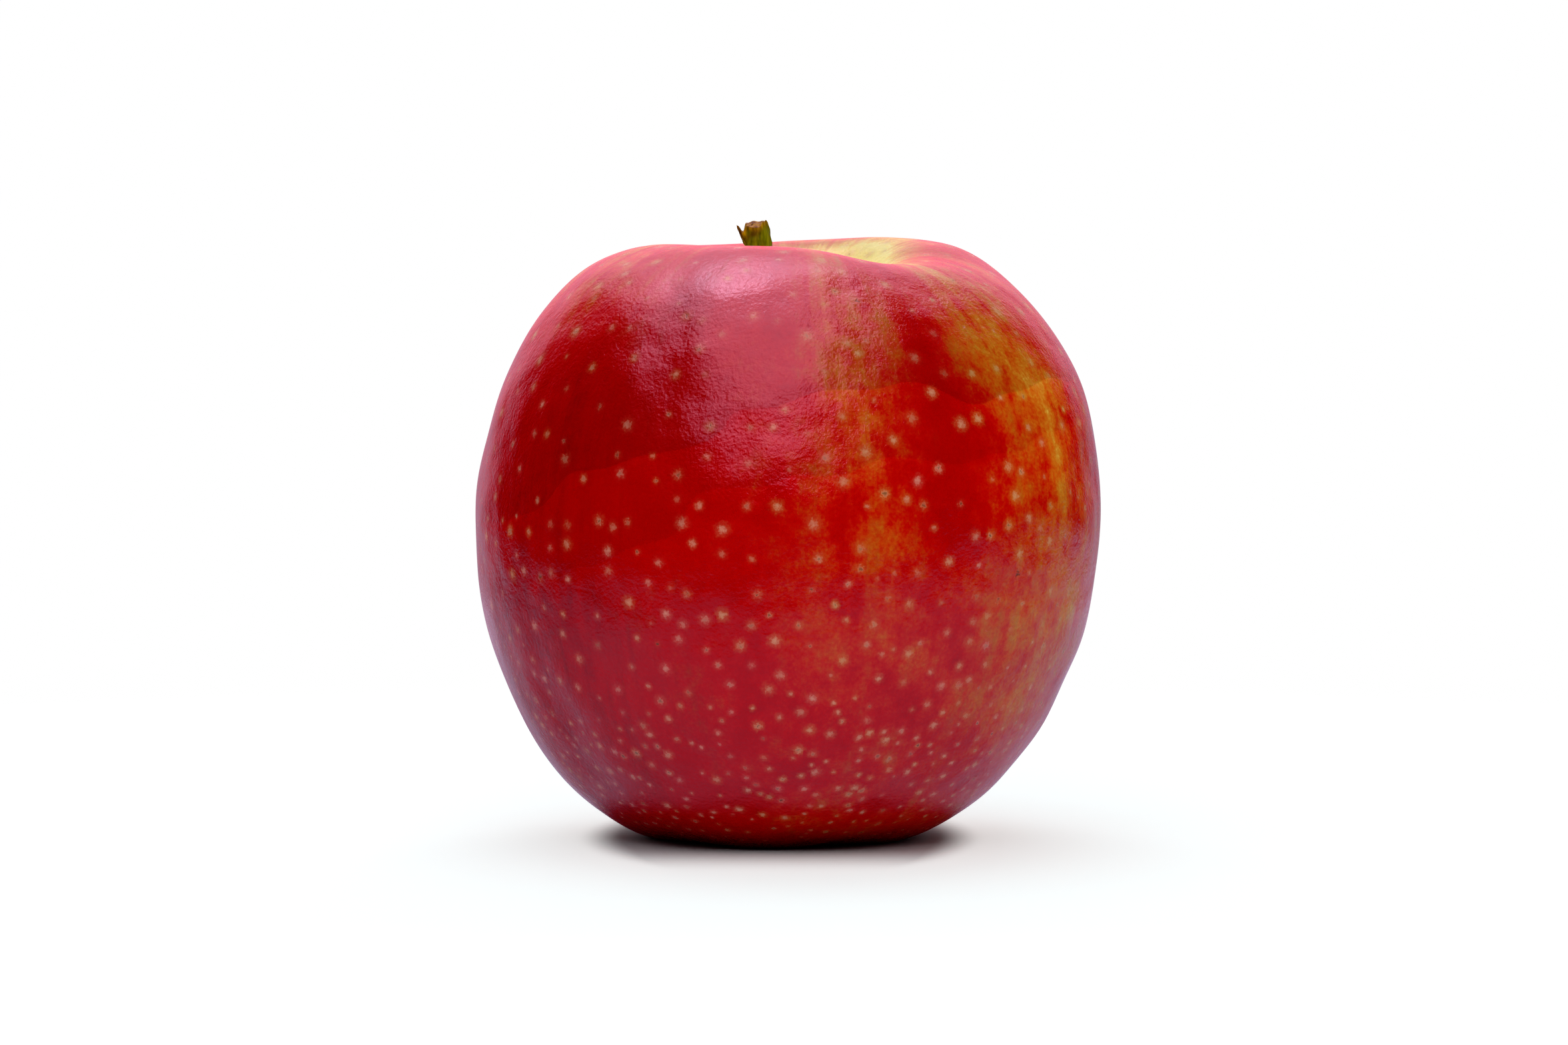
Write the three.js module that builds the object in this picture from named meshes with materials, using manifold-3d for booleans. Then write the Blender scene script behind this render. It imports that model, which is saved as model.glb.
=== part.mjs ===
// A whole apple as picked, standing stem up on the lobes round its calyx basin.
// The fruit is one solid. The stem, the five dried sepals, the stamens and the styles are pieces of their own.
//
// Millimetres. +Z is up, the surface it stands on is z = 0, and azimuths are degrees from -Y (the front)
// towards +X (the right). The origin is on that surface, under the middle of the fruit.

import * as THREE from "three";
import Module from "manifold-3d";
import { mergeVertices } from "three/addons/utils/BufferGeometryUtils.js";

const wasm = await Module();
wasm.setup();

// ---- Driving dimensions: the fruit's meridian -------------------------------------------------------------

const WIDEST = { r: 38.85, z: 39.6 }; // the girth, just above half height
const CREST = { r: 17.2, z: 73.55 }; // top of the shoulder, round the stem cavity
const FOOT = { r: 12.6, z: 0 }; // bottom of the lobes, round the calyx basin
const STEM_CAVITY = { depth: 16, slope: 1.1, bend: 1.6 };
const CALYX_BASIN = { depth: 6.9, slope: 0, bend: 2 };
const POWER = { above: 1.9, below: 1.9 }; // 2 is an ellipse, and less is leaner at 45 degrees

// ---- Driving dimensions: what makes it lopsided -----------------------------------------------------------

const LOBES = { count: 5, at: -8 }; // one lobe faces the front, a little to the left
const LOBE_SWELL = { all: 0.003, shoulder: 0.008, base: 0.01 }; // shares of the radius
const OVAL = { share: 0.004, at: 20 };
const SHOULDER_RISE = [
  // how far the crest stands above its mean height, round the stem cavity
  { at: 38, width: 26, rise: -2.0 }, // the saddle at the front right
  { at: 70, width: 22, rise: -1.5 },
  { at: 128, width: 34, rise: 0.55 }, // the high shoulder behind it
  { at: 165, width: 40, rise: 0.45 },
  { at: -140, width: 40, rise: -0.3 },
];
const GROOVE = { at: 42, width: 15, depth: 0.8 }; // runs down from the saddle
const RIGHT_CHEEK = { at: 92, width: 30, swell: 0.5 };
const FOOT_RISE = { lobe: -0.3, valley: 0.45 }; // lobes reach below z = 0 and are shaved flat there
const LEAN = { slope: 0.017, bend: 0.0003, from: 37 }; // the core leans right, its foot curls left

// ---- Driving dimensions: the small pieces -----------------------------------------------------------------

const GAP = 0.3; // between the fruit and what stands on it
const STEM = {
  foot: 0.45, // radii: where it leaves the flesh,
  collar: 1.3, // just above that,
  waist: 1.15, // half way up,
  tip: 1.6, // and at the swollen end that sat on the spur
  rise: 17.75,
  lean: { x: -5.0, y: -0.6 },
};
const SEPAL = { count: 5, at: 28, width: 2.3, thickness: 0.5 };
const SEPAL_ROUTE = [
  // (distance from the core's axis, height) from the base to the tip
  [2.5, 4.5],
  [2.15, 3.7],
  [2.0, 2.8],
  [2.15, 2.0],
  [2.8, 1.3],
];
const STAMENS = { count: 10, ring: 1.05, wire: 0.16, top: 5.75, bottom: 3.4 };
const STYLES = { count: 5, column: 0.3, branch: 0.16, top: 6.0, fork: 4.2, bottom: 2.9 };

// ---- Steps in the meshes ----------------------------------------------------------------------------------

const AROUND = 60;
const ROWS = { cavity: 12, shoulder: 13, flank: 17, basin: 10 };

// ---- Small helpers ----------------------------------------------------------------------------------------

const { degToRad, smoothstep } = THREE.MathUtils;

// Direction of an azimuth in the XY plane.
const towards = (azimuth) =>
  new THREE.Vector3(Math.sin(degToRad(azimuth)), -Math.cos(degToRad(azimuth)), 0);

// A bell of height 1 round an azimuth; width is the distance at which it has fallen to 1/e.
function bell(azimuth, { at, width }) {
  const away = THREE.MathUtils.euclideanModulo(azimuth - at + 180, 360) - 180;
  return Math.exp(-((away / width) ** 2));
}

// A closed solid through rings of points, with a fan over each end.
// Each ring runs anticlockwise, seen by someone whom the rings move towards.
function loft(rings) {
  const sides = rings[0].length;
  const middle = (ring) =>
    ring.reduce((sum, p) => sum.add(p), new THREE.Vector3()).divideScalar(sides);
  const points = [...rings.flat(), middle(rings[0]), middle(rings.at(-1))];
  const faces = [];
  for (let i = 0; i < rings.length; i++)
    for (let j = 0; j < sides; j++) {
      const here = i * sides + j;
      const next = i * sides + ((j + 1) % sides);
      if (i === 0) faces.push(points.length - 2, next, here);
      if (i === rings.length - 1) faces.push(points.length - 1, here, next);
      else faces.push(here, next, next + sides, here, next + sides, here + sides);
    }
  return new THREE.BufferGeometry().setFromPoints(points).setIndex(faces);
}

function toSolid(geometry) {
  const bare = geometry.clone();
  bare.deleteAttribute("normal");
  bare.deleteAttribute("uv");
  const merged = mergeVertices(bare, 1e-4);
  return new wasm.Manifold(
    new wasm.Mesh({
      numProp: 3,
      vertProperties: merged.attributes.position.array,
      triVerts: new Uint32Array(merged.index.array),
    }),
  );
}

function toGeometry(solid) {
  const { vertProperties, triVerts } = solid.getMesh();
  const geometry = new THREE.BufferGeometry();
  geometry.setAttribute("position", new THREE.BufferAttribute(vertProperties, 3));
  return geometry.setIndex(new THREE.BufferAttribute(triVerts, 1));
}

// Rings of the given radii square to a curve, evenly spaced along it.
function tube(curve, radii, sides) {
  const steps = radii.length - 1;
  const frames = curve.computeFrenetFrames(steps, false);
  return radii.map((radius, i) => {
    const centre = curve.getPointAt(i / steps);
    return Array.from({ length: sides }, (_, j) => {
      const turn = (j / sides) * 2 * Math.PI;
      return centre
        .clone()
        .addScaledVector(frames.normals[i], radius * Math.cos(turn))
        .addScaledVector(frames.binormals[i], radius * Math.sin(turn));
    });
  });
}

// ---- The fruit --------------------------------------------------------------------------------------------

// How deep a hollow is at a share t of its radius: 1 in the middle, where it has the given slope,
// and 0 at its edge, which is level and has the given bend.
function hollow(t, { slope, bend }) {
  const first = 2 - slope;
  const second = bend / 2 - 1 - first;
  return (1 - t) ** 2 * (1 + first * t + second * t * t);
}

// A quarter of a rounded outline, from its top or bottom (0) to its widest (1), as shares of both ways.
function quarter(share, power) {
  const turn = (share * Math.PI) / 2;
  return { out: Math.sin(turn) ** (2 / power), up: Math.cos(turn) ** (2 / power) };
}

// The meridian: out along the stem cavity, over the shoulder, down the flank and into the calyx basin.
function meridian() {
  const stations = [];
  for (let i = 0; i < ROWS.cavity; i++) {
    const t = Math.max(i / ROWS.cavity, 0.02);
    const z = CREST.z - STEM_CAVITY.depth * hollow(t, STEM_CAVITY);
    stations.push({ r: CREST.r * t, z, inside: true });
  }
  for (let i = 0; i < ROWS.shoulder; i++) {
    const { out, up } = quarter(i / ROWS.shoulder, POWER.above);
    stations.push({
      r: CREST.r + (WIDEST.r - CREST.r) * out,
      z: WIDEST.z + (CREST.z - WIDEST.z) * up,
    });
  }
  for (let i = 0; i < ROWS.flank; i++) {
    const { out, up } = quarter(1 - i / ROWS.flank, POWER.below);
    stations.push({
      r: FOOT.r + (WIDEST.r - FOOT.r) * out,
      z: WIDEST.z - (WIDEST.z - FOOT.z) * up,
    });
  }
  for (let i = 0; i < ROWS.basin; i++) {
    const t = 1 - i / ROWS.basin;
    stations.push({ r: FOOT.r * t, z: FOOT.z + CALYX_BASIN.depth * hollow(t, CALYX_BASIN) });
  }
  return stations;
}

// Sideways place of the core at a height.
const leanAt = (z) =>
  LEAN.slope * (z - LEAN.from) - LEAN.bend * Math.max(LEAN.from - z, 0) ** 2;

// A point of the skin: a station of the meridian, swelled and lifted as its azimuth says.
function skinPoint({ r, z, inside }, azimuth) {
  const lobe = Math.cos(degToRad(LOBES.count * (azimuth - LOBES.at)));
  const nearCrest = inside ? smoothstep(r, 1, CREST.r) : smoothstep(z, 44, 71);
  const rise = SHOULDER_RISE.reduce((sum, part) => sum + part.rise * bell(azimuth, part), 0);
  const nearFoot = smoothstep(-z, -3.5, 0) * smoothstep(r, 6, 12);
  const footRise = THREE.MathUtils.lerp(FOOT_RISE.valley, FOOT_RISE.lobe, (1 + lobe) / 2);

  const swell =
    LOBE_SWELL.all +
    (inside ? 0 : LOBE_SWELL.shoulder * smoothstep(z, 50, 70)) +
    LOBE_SWELL.base * smoothstep(-z, -26, -3);
  const oval = OVAL.share * Math.cos(degToRad(2 * (azimuth - OVAL.at)));
  const groove = GROOVE.depth * bell(azimuth, GROOVE) * smoothstep(z, 46, 66);
  const cheekHeight = smoothstep(z, 42, 60) * (1 - smoothstep(z, 62, 72));
  const cheek = RIGHT_CHEEK.swell * bell(azimuth, RIGHT_CHEEK) * cheekHeight;

  const height = z + nearCrest * rise + nearFoot * footRise;
  const radius = r * (1 + swell * lobe + oval + (cheek - groove) / 30);
  const point = towards(azimuth).multiplyScalar(radius);
  return point.add(new THREE.Vector3(leanAt(height), 0, height));
}

function makeFruit() {
  const rings = meridian().map((station) =>
    Array.from({ length: AROUND }, (_, j) => skinPoint(station, (-j * 360) / AROUND)),
  );
  const shaving = new THREE.BoxGeometry(80, 80, 10).translate(0, 0, -5);
  return toGeometry(toSolid(loft(rings)).subtract(toSolid(shaving)));
}

// ---- The stem ---------------------------------------------------------------------------------------------

function makeStem() {
  const floor = CREST.z - STEM_CAVITY.depth;
  const base = new THREE.Vector3(leanAt(floor), 0, floor + STEM.foot + GAP);
  const along = (share, bow) =>
    base.clone().add(
      new THREE.Vector3(STEM.lean.x * bow, STEM.lean.y * bow, STEM.rise * share),
    );
  const route = new THREE.CatmullRomCurve3([
    along(0, 0),
    along(0.3, 0.2),
    along(0.65, 0.58),
    along(1, 1),
  ]);
  const { foot, collar, waist, tip } = STEM;
  const radii = [foot, collar * 0.85, collar, collar, 1.2, waist, waist, waist, 1.2, 1.3, 1.45, tip, tip];
  return loft(tube(route, radii, 14));
}

// ---- The calyx --------------------------------------------------------------------------------------------

// One sepal: a dry leaf that stands in from the basin's floor and curls out again at its tip.
function makeSepal(azimuth) {
  const out = towards(azimuth);
  const across = towards(azimuth + 90);
  const core = new THREE.Vector3(leanAt(3), 0, 0);
  const route = new THREE.CatmullRomCurve3(
    SEPAL_ROUTE.map(([r, z]) => core.clone().addScaledVector(out, r).setZ(z)),
  );
  const shares = [0.95, 1, 0.88, 0.78, 0.62, 0.4, 0.15]; // of the width, from the base to the tip
  const corners = 8;
  const rings = shares.map((share, i) => {
    const at = i / (shares.length - 1);
    const centre = route.getPointAt(at);
    const outward = new THREE.Vector3().crossVectors(route.getTangentAt(at), across).normalize();
    return Array.from({ length: corners }, (_, j) => {
      const turn = (j / corners) * 2 * Math.PI;
      const side = (SEPAL.width / 2) * share * Math.cos(turn);
      const thick = (SEPAL.thickness / 2) * Math.sqrt(share) * Math.sin(turn);
      const cup = 0.14 * side * side; // its edges bend in round the core
      return centre
        .clone()
        .addScaledVector(across, side)
        .addScaledVector(outward, thick)
        .addScaledVector(out, -cup);
    });
  });
  return loft(rings);
}

// A straight wire between two points, a little thinner at its far end.
function wire(from, to, radius) {
  const run = to.clone().sub(from);
  const turn = new THREE.Quaternion().setFromUnitVectors(
    new THREE.Vector3(0, 1, 0),
    run.clone().normalize(),
  );
  return new THREE.CylinderGeometry(0.8 * radius, radius, run.length(), 6)
    .applyQuaternion(turn)
    .translate(...from.clone().addScaledVector(run, 0.5));
}

// Fine pieces that share a foot, joined into one closed solid.
const joined = (geometries) =>
  toGeometry(geometries.map(toSolid).reduce((sum, solid) => sum.add(solid)));

// The dried stamens: filaments on a ring, leaning in towards their tips.
function makeStamens() {
  const core = new THREE.Vector3(leanAt(STAMENS.top), 0, 0);
  const { ring, wire: thick, top, bottom, count } = STAMENS;
  const foot = new THREE.TorusGeometry(ring, 1.2 * thick, 6, 20).translate(core.x, 0, top);
  const filaments = Array.from({ length: count }, (_, i) => {
    const out = towards((i * 360) / count);
    const from = core.clone().addScaledVector(out, ring).setZ(top);
    const to = core
      .clone()
      .addScaledVector(out, ring - 0.15 - 0.12 * (i % 3))
      .setZ(bottom + 0.35 * (i % 2));
    return wire(from, to, thick);
  });
  return joined([foot, ...filaments]);
}

// The styles: a column that forks into five.
function makeStyles() {
  const core = new THREE.Vector3(leanAt(STYLES.top), 0, 0);
  const { count, column, branch, top, fork, bottom } = STYLES;
  const stalk = wire(core.clone().setZ(top), core.clone().setZ(fork), column);
  const branches = Array.from({ length: count }, (_, i) => {
    const out = towards(SEPAL.at + ((i + 0.5) * 360) / count);
    const from = core.clone().addScaledVector(out, 0.08).setZ(fork + 0.3);
    const to = core.clone().addScaledVector(out, 0.36).setZ(bottom);
    return wire(from, to, branch);
  });
  return joined([stalk, ...branches]);
}

// ---- Assembly ---------------------------------------------------------------------------------------------

const skin = new THREE.MeshStandardMaterial({ color: "#a8161c", roughness: 0.35, metalness: 0 });
const bark = new THREE.MeshStandardMaterial({ color: "#5d5a12", roughness: 0.7, metalness: 0 });
const dryLeaf = new THREE.MeshStandardMaterial({ color: "#6a5338", roughness: 0.85, metalness: 0 });
const dryThread = new THREE.MeshStandardMaterial({ color: "#3d2a1c", roughness: 0.9, metalness: 0 });

const apple = new THREE.Group();

function place(name, geometry, material) {
  const mesh = new THREE.Mesh(geometry, material);
  mesh.name = name;
  apple.add(mesh);
  return mesh;
}

const fruit = place("fruit", makeFruit(), skin);
place("stem", makeStem(), bark);
for (let i = 0; i < SEPAL.count; i++)
  place(`sepal_${i + 1}`, makeSepal(SEPAL.at + (i * 360) / SEPAL.count), dryLeaf);
place("stamens", makeStamens(), dryThread);
place("styles", makeStyles(), dryThread);

// The origin goes under the middle of the fruit.
const middle = new THREE.Box3().setFromObject(fruit).getCenter(new THREE.Vector3());
apple.position.set(-middle.x, -middle.y, 0);

export default apple;
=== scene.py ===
"""A whole red apple standing on a white card, in soft studio light.

Lengths in the shape formulas are in millimetres and become metres when a mesh is made.
Azimuths are in degrees from -Y, the front, towards +X, the right.
"""

import math

import bpy
import numpy as np
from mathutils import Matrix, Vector


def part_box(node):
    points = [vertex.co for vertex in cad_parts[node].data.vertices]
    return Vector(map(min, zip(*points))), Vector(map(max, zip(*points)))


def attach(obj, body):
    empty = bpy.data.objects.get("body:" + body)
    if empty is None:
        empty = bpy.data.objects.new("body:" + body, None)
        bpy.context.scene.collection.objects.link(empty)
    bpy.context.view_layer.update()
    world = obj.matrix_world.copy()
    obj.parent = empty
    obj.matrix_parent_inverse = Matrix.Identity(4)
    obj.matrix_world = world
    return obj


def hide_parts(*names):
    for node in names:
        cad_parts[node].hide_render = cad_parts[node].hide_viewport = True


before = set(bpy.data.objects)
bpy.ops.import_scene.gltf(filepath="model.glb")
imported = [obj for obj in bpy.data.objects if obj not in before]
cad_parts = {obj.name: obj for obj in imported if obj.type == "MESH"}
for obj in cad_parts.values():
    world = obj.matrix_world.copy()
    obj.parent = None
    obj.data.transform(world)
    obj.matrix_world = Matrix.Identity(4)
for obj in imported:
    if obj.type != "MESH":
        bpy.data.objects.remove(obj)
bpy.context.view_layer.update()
MM = 0.001

# ---- The fruit's shape, as in the CAD part but for its foot -------------------------------------------

WIDEST_R, WIDEST_Z = 38.85, 39.6
CREST_R, CREST_Z = 17.2, 73.55
FOOT_R = 12.6
CAVITY_DEPTH, CAVITY_SLOPE, CAVITY_BEND = 16.0, 1.1, 1.6
BASIN_DEPTH, BASIN_SLOPE, BASIN_BEND = 6.9, 0.0, 2.0
QUARTER_POWER = 1.9
LOBE_AT = -8

# Half the fruit's height, the core's lean to the right with height, and its curl to the left below.
MID_Z, CORE_LEAN, CORE_CURL = 37, 0.017, 0.0003

# Rise of the foot under a lobe, where it is pressed flat on the table, and between two lobes. The
# part's valleys are 0.3 mm deeper; shallow ones look smoother here.
FOOT_LOBE, FOOT_VALLEY = -0.3, 0.15

# Where the crest stands above or below its mean height: azimuth, width, rise.
SHOULDER_RISE = [(38, 26, -2.0), (70, 22, -1.5), (128, 34, 0.55), (165, 40, 0.45), (-140, 40, -0.3)]

STEM_RISE, STEM_LEAN = 17.75, (-5.0, -0.6)

# Rows of the fine mesh down the cavity, the shoulder, the flank and the basin, and points round each.
SKIN_ROWS = (58, 70, 96, 44)
SKIN_AROUND = 340


def bell(azimuth, at, width):
    """1 at one azimuth, falling on both sides as exp(-(distance / width) squared)."""
    away = (azimuth - at + 180) % 360 - 180
    return np.exp(-((away / width) ** 2))


def ease(x, low, high):
    """0 below low, 1 above high, and 3t^2 - 2t^3 between them."""
    t = np.clip((x - low) / (high - low), 0, 1)
    return t * t * (3 - 2 * t)


def band(x, low, high, soft):
    """1 between low and high, easing to 0 over the distance soft on both sides."""
    return ease(x, low - soft, low + soft) * (1 - ease(x, high - soft, high + soft))


def hollow(t, slope, bend):
    """Depth of a hollow at share t of its radius: (1-t)^2 (1 + at + bt^2), level at its edge.

    Slope is its steepness at the middle, and bend how fast it turns down from the edge.
    """
    a = 2 - slope
    b = bend / 2 - 1 - a
    return (1 - t) ** 2 * (1 + a * t + b * t * t)


def core_lean(z):
    """Sideways place of the core at height z: a straight lean, less a square below mid height."""
    return CORE_LEAN * (z - MID_Z) - CORE_CURL * np.maximum(MID_Z - z, 0) ** 2


def meridian(rows):
    """Radius and height down the outline: cavity, shoulder quarter, flank quarter, basin.

    The quarters are superellipses, sin(q)^(2/p) out and cos(q)^(2/p) up.
    """
    cavity, shoulder, flank, basin = rows
    t = (np.arange(cavity) + 0.3) / cavity
    inside = CREST_R * t, CREST_Z - CAVITY_DEPTH * hollow(t, CAVITY_SLOPE, CAVITY_BEND)
    q = np.arange(shoulder) / shoulder * np.pi / 2
    above = (
        CREST_R + (WIDEST_R - CREST_R) * np.sin(q) ** (2 / QUARTER_POWER),
        WIDEST_Z + (CREST_Z - WIDEST_Z) * np.cos(q) ** (2 / QUARTER_POWER),
    )
    q = np.arange(flank) / flank * np.pi / 2
    below = (
        FOOT_R + (WIDEST_R - FOOT_R) * np.cos(q) ** (2 / QUARTER_POWER),
        WIDEST_Z * (1 - np.sin(q) ** (2 / QUARTER_POWER)),
    )
    t = 1 - np.arange(basin) / basin
    under = FOOT_R * t, BASIN_DEPTH * hollow(t, BASIN_SLOPE, BASIN_BEND)
    r, z = (np.concatenate(part) for part in zip(inside, above, below, under))
    return r, z


def skin_points(r, z, azimuth, inside):
    """The meridian carried round the core: swelled by five lobes, an oval, a groove and a cheek,
    lifted along the crest, and flattened where a lobe meets the table.

    Swell and oval are shares of the radius; groove and cheek are in mm at a radius of 30 mm.
    """
    lobe = np.cos(np.radians(5 * (azimuth - LOBE_AT)))
    near_crest = np.where(inside, ease(r, 1, CREST_R), ease(z, 44, 71))
    rise = sum(height * bell(azimuth, at, width) for at, width, height in SHOULDER_RISE)
    near_foot = ease(-z, -3.5, 0) * ease(r, 6, 12)
    foot = FOOT_VALLEY + (FOOT_LOBE - FOOT_VALLEY) * (1 + lobe) / 2
    swell = 0.003 + np.where(inside, 0, 0.008 * ease(z, 50, 70)) + 0.007 * ease(-z, -26, -3)
    oval = 0.004 * np.cos(np.radians(2 * (azimuth - 20)))
    groove = 0.8 * bell(azimuth, 42, 15) * ease(z, 46, 66)
    cheek = 0.5 * bell(azimuth, 92, 30) * ease(z, 42, 60) * (1 - ease(z, 62, 72))
    height = z + near_crest * rise + near_foot * foot
    radius = r * (1 + swell * lobe + oval + (cheek - groove) / 30)
    angle = np.radians(azimuth)
    points = [radius * np.sin(angle) + core_lean(height), -radius * np.cos(angle), np.maximum(height, 0)]
    return np.stack(points, -1)


# ---- Meshes from arrays -------------------------------------------------------------------------------


def ring_faces(count, around):
    """Quads between rings that follow each other, as an array of vertex numbers."""
    ring, place = np.meshgrid(np.arange(count - 1), np.arange(around), indexing="ij")
    here = ring * around + place
    after = ring * around + (place + 1) % around
    return np.stack([here, after, after + around, here + around], -1).reshape(-1, 4)


def fan_faces(around, first, pole, flip):
    """Triangles from a ring to one pole, wound the other way round if flip is set."""
    here = first + np.arange(around)
    after = first + (np.arange(around) + 1) % around
    order = [after, here] if flip else [here, after]
    return np.stack([*order, np.full(around, pole)], -1)


def closed_tube(rings):
    """Points and faces of a closed surface through rings (count, around, 3), a fan over each end."""
    count, around, _ = rings.shape
    poles = np.array([rings[0].mean(0), rings[-1].mean(0)])
    points = np.concatenate([rings.reshape(-1, 3), poles])
    total = count * around
    faces = [
        *ring_faces(count, around).tolist(),
        *fan_faces(around, 0, total, True).tolist(),
        *fan_faces(around, total - around, total + 1, False).tolist(),
    ]
    return points, faces


def make_piece(name, parts, material):
    """One smooth mesh piece from (points in mm, faces) parts, standing in the row frame."""
    points, faces, first = [], [], 0
    for part_points, part_faces in parts:
        points.append(part_points)
        faces.extend([[corner + first for corner in face] for face in part_faces])
        first += len(part_points)
    mesh = bpy.data.meshes.new(name)
    mesh.from_pydata((np.concatenate(points) * MM).tolist(), [], faces)
    mesh.polygons.foreach_set("use_smooth", np.ones(len(mesh.polygons), bool))
    mesh.materials.append(material)
    mesh.validate()
    piece = bpy.data.objects.new(name, mesh)
    bpy.context.scene.collection.objects.link(piece)
    return piece


def give(piece, name, kind, domain, values):
    """Writes an attribute: a number or a vector for every point or face."""
    attribute = piece.data.attributes.new(name, kind, domain)
    key = "vector" if kind == "FLOAT_VECTOR" else "value"
    attribute.data.foreach_set(key, np.asarray(values, np.float32).ravel())


def ripple(points, shortest, longest, count, seed):
    """A smooth random height, mostly from -1 to 1: waves with seeded directions and lengths, added
    up and divided by the square root of their number."""
    rng = np.random.default_rng(seed)
    way = rng.normal(size=(count, 3))
    way /= np.linalg.norm(way, axis=1)[:, None]
    length = rng.uniform(shortest, longest, count)
    phase = rng.uniform(0, 2 * np.pi, count)
    total = np.zeros(points.shape[:-1])
    for direction, size, start in zip(way, length, phase):
        total += np.sin(2 * np.pi * (points @ direction) / size + start)
    return total / math.sqrt(count)


def sweep(route, radii, around):
    """Rings square to a route (n, 3): radius times a turning pair of directions across it.

    The first of the pair is square to the route and to a direction that no route here follows.
    """
    along = np.gradient(route, axis=0)
    along /= np.linalg.norm(along, axis=1)[:, None]
    side = np.cross(along, np.array([0.0, 1.0, 0.13]))
    side /= np.linalg.norm(side, axis=1)[:, None]
    up = np.cross(along, side)
    turn = np.linspace(0, 2 * np.pi, around, endpoint=False)[None, :, None]
    across = np.cos(turn) * side[:, None] + np.sin(turn) * up[:, None]
    return route[:, None] + np.reshape(radii, (len(route), -1, 1)) * across


# ---- Materials ----------------------------------------------------------------------------------------


def colour(hex_value):
    """sRGB hex to linear RGBA."""
    parts = [int(hex_value[i : i + 2], 16) / 255 for i in (1, 3, 5)]
    return (*[c / 12.92 if c < 0.04045 else ((c + 0.055) / 1.055) ** 2.4 for c in parts], 1.0)


def add(tree, kind, inputs=None, **settings):
    """Adds one node: settings are its properties, inputs its sockets' values or links."""
    node = tree.nodes.new("ShaderNode" + kind)
    for name, value in settings.items():
        setattr(node, name, value)
    for key, value in (inputs or {}).items():
        if isinstance(value, bpy.types.NodeSocket):
            tree.links.new(value, node.inputs[key])
        else:
            node.inputs[key].default_value = value
    return node


def set_ramp(node, stops):
    """Puts colour stops, (place, hex), on a Color Ramp."""
    ramp = node.color_ramp
    while len(ramp.elements) > 1:
        ramp.elements.remove(ramp.elements[-1])
    for i, (place, hex_value) in enumerate(stops):
        element = ramp.elements[0] if i == 0 else ramp.elements.new(place)
        element.position = place
        element.color = colour(hex_value)


def new_material(name):
    """An empty node material and its Principled shader."""
    material = bpy.data.materials.new(name)
    material.use_nodes = True
    tree = material.node_tree
    tree.nodes.clear()
    shader = add(tree, "BsdfPrincipled")
    add(tree, "OutputMaterial", {"Surface": shader.outputs["BSDF"]})
    return material, tree, shader


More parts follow.
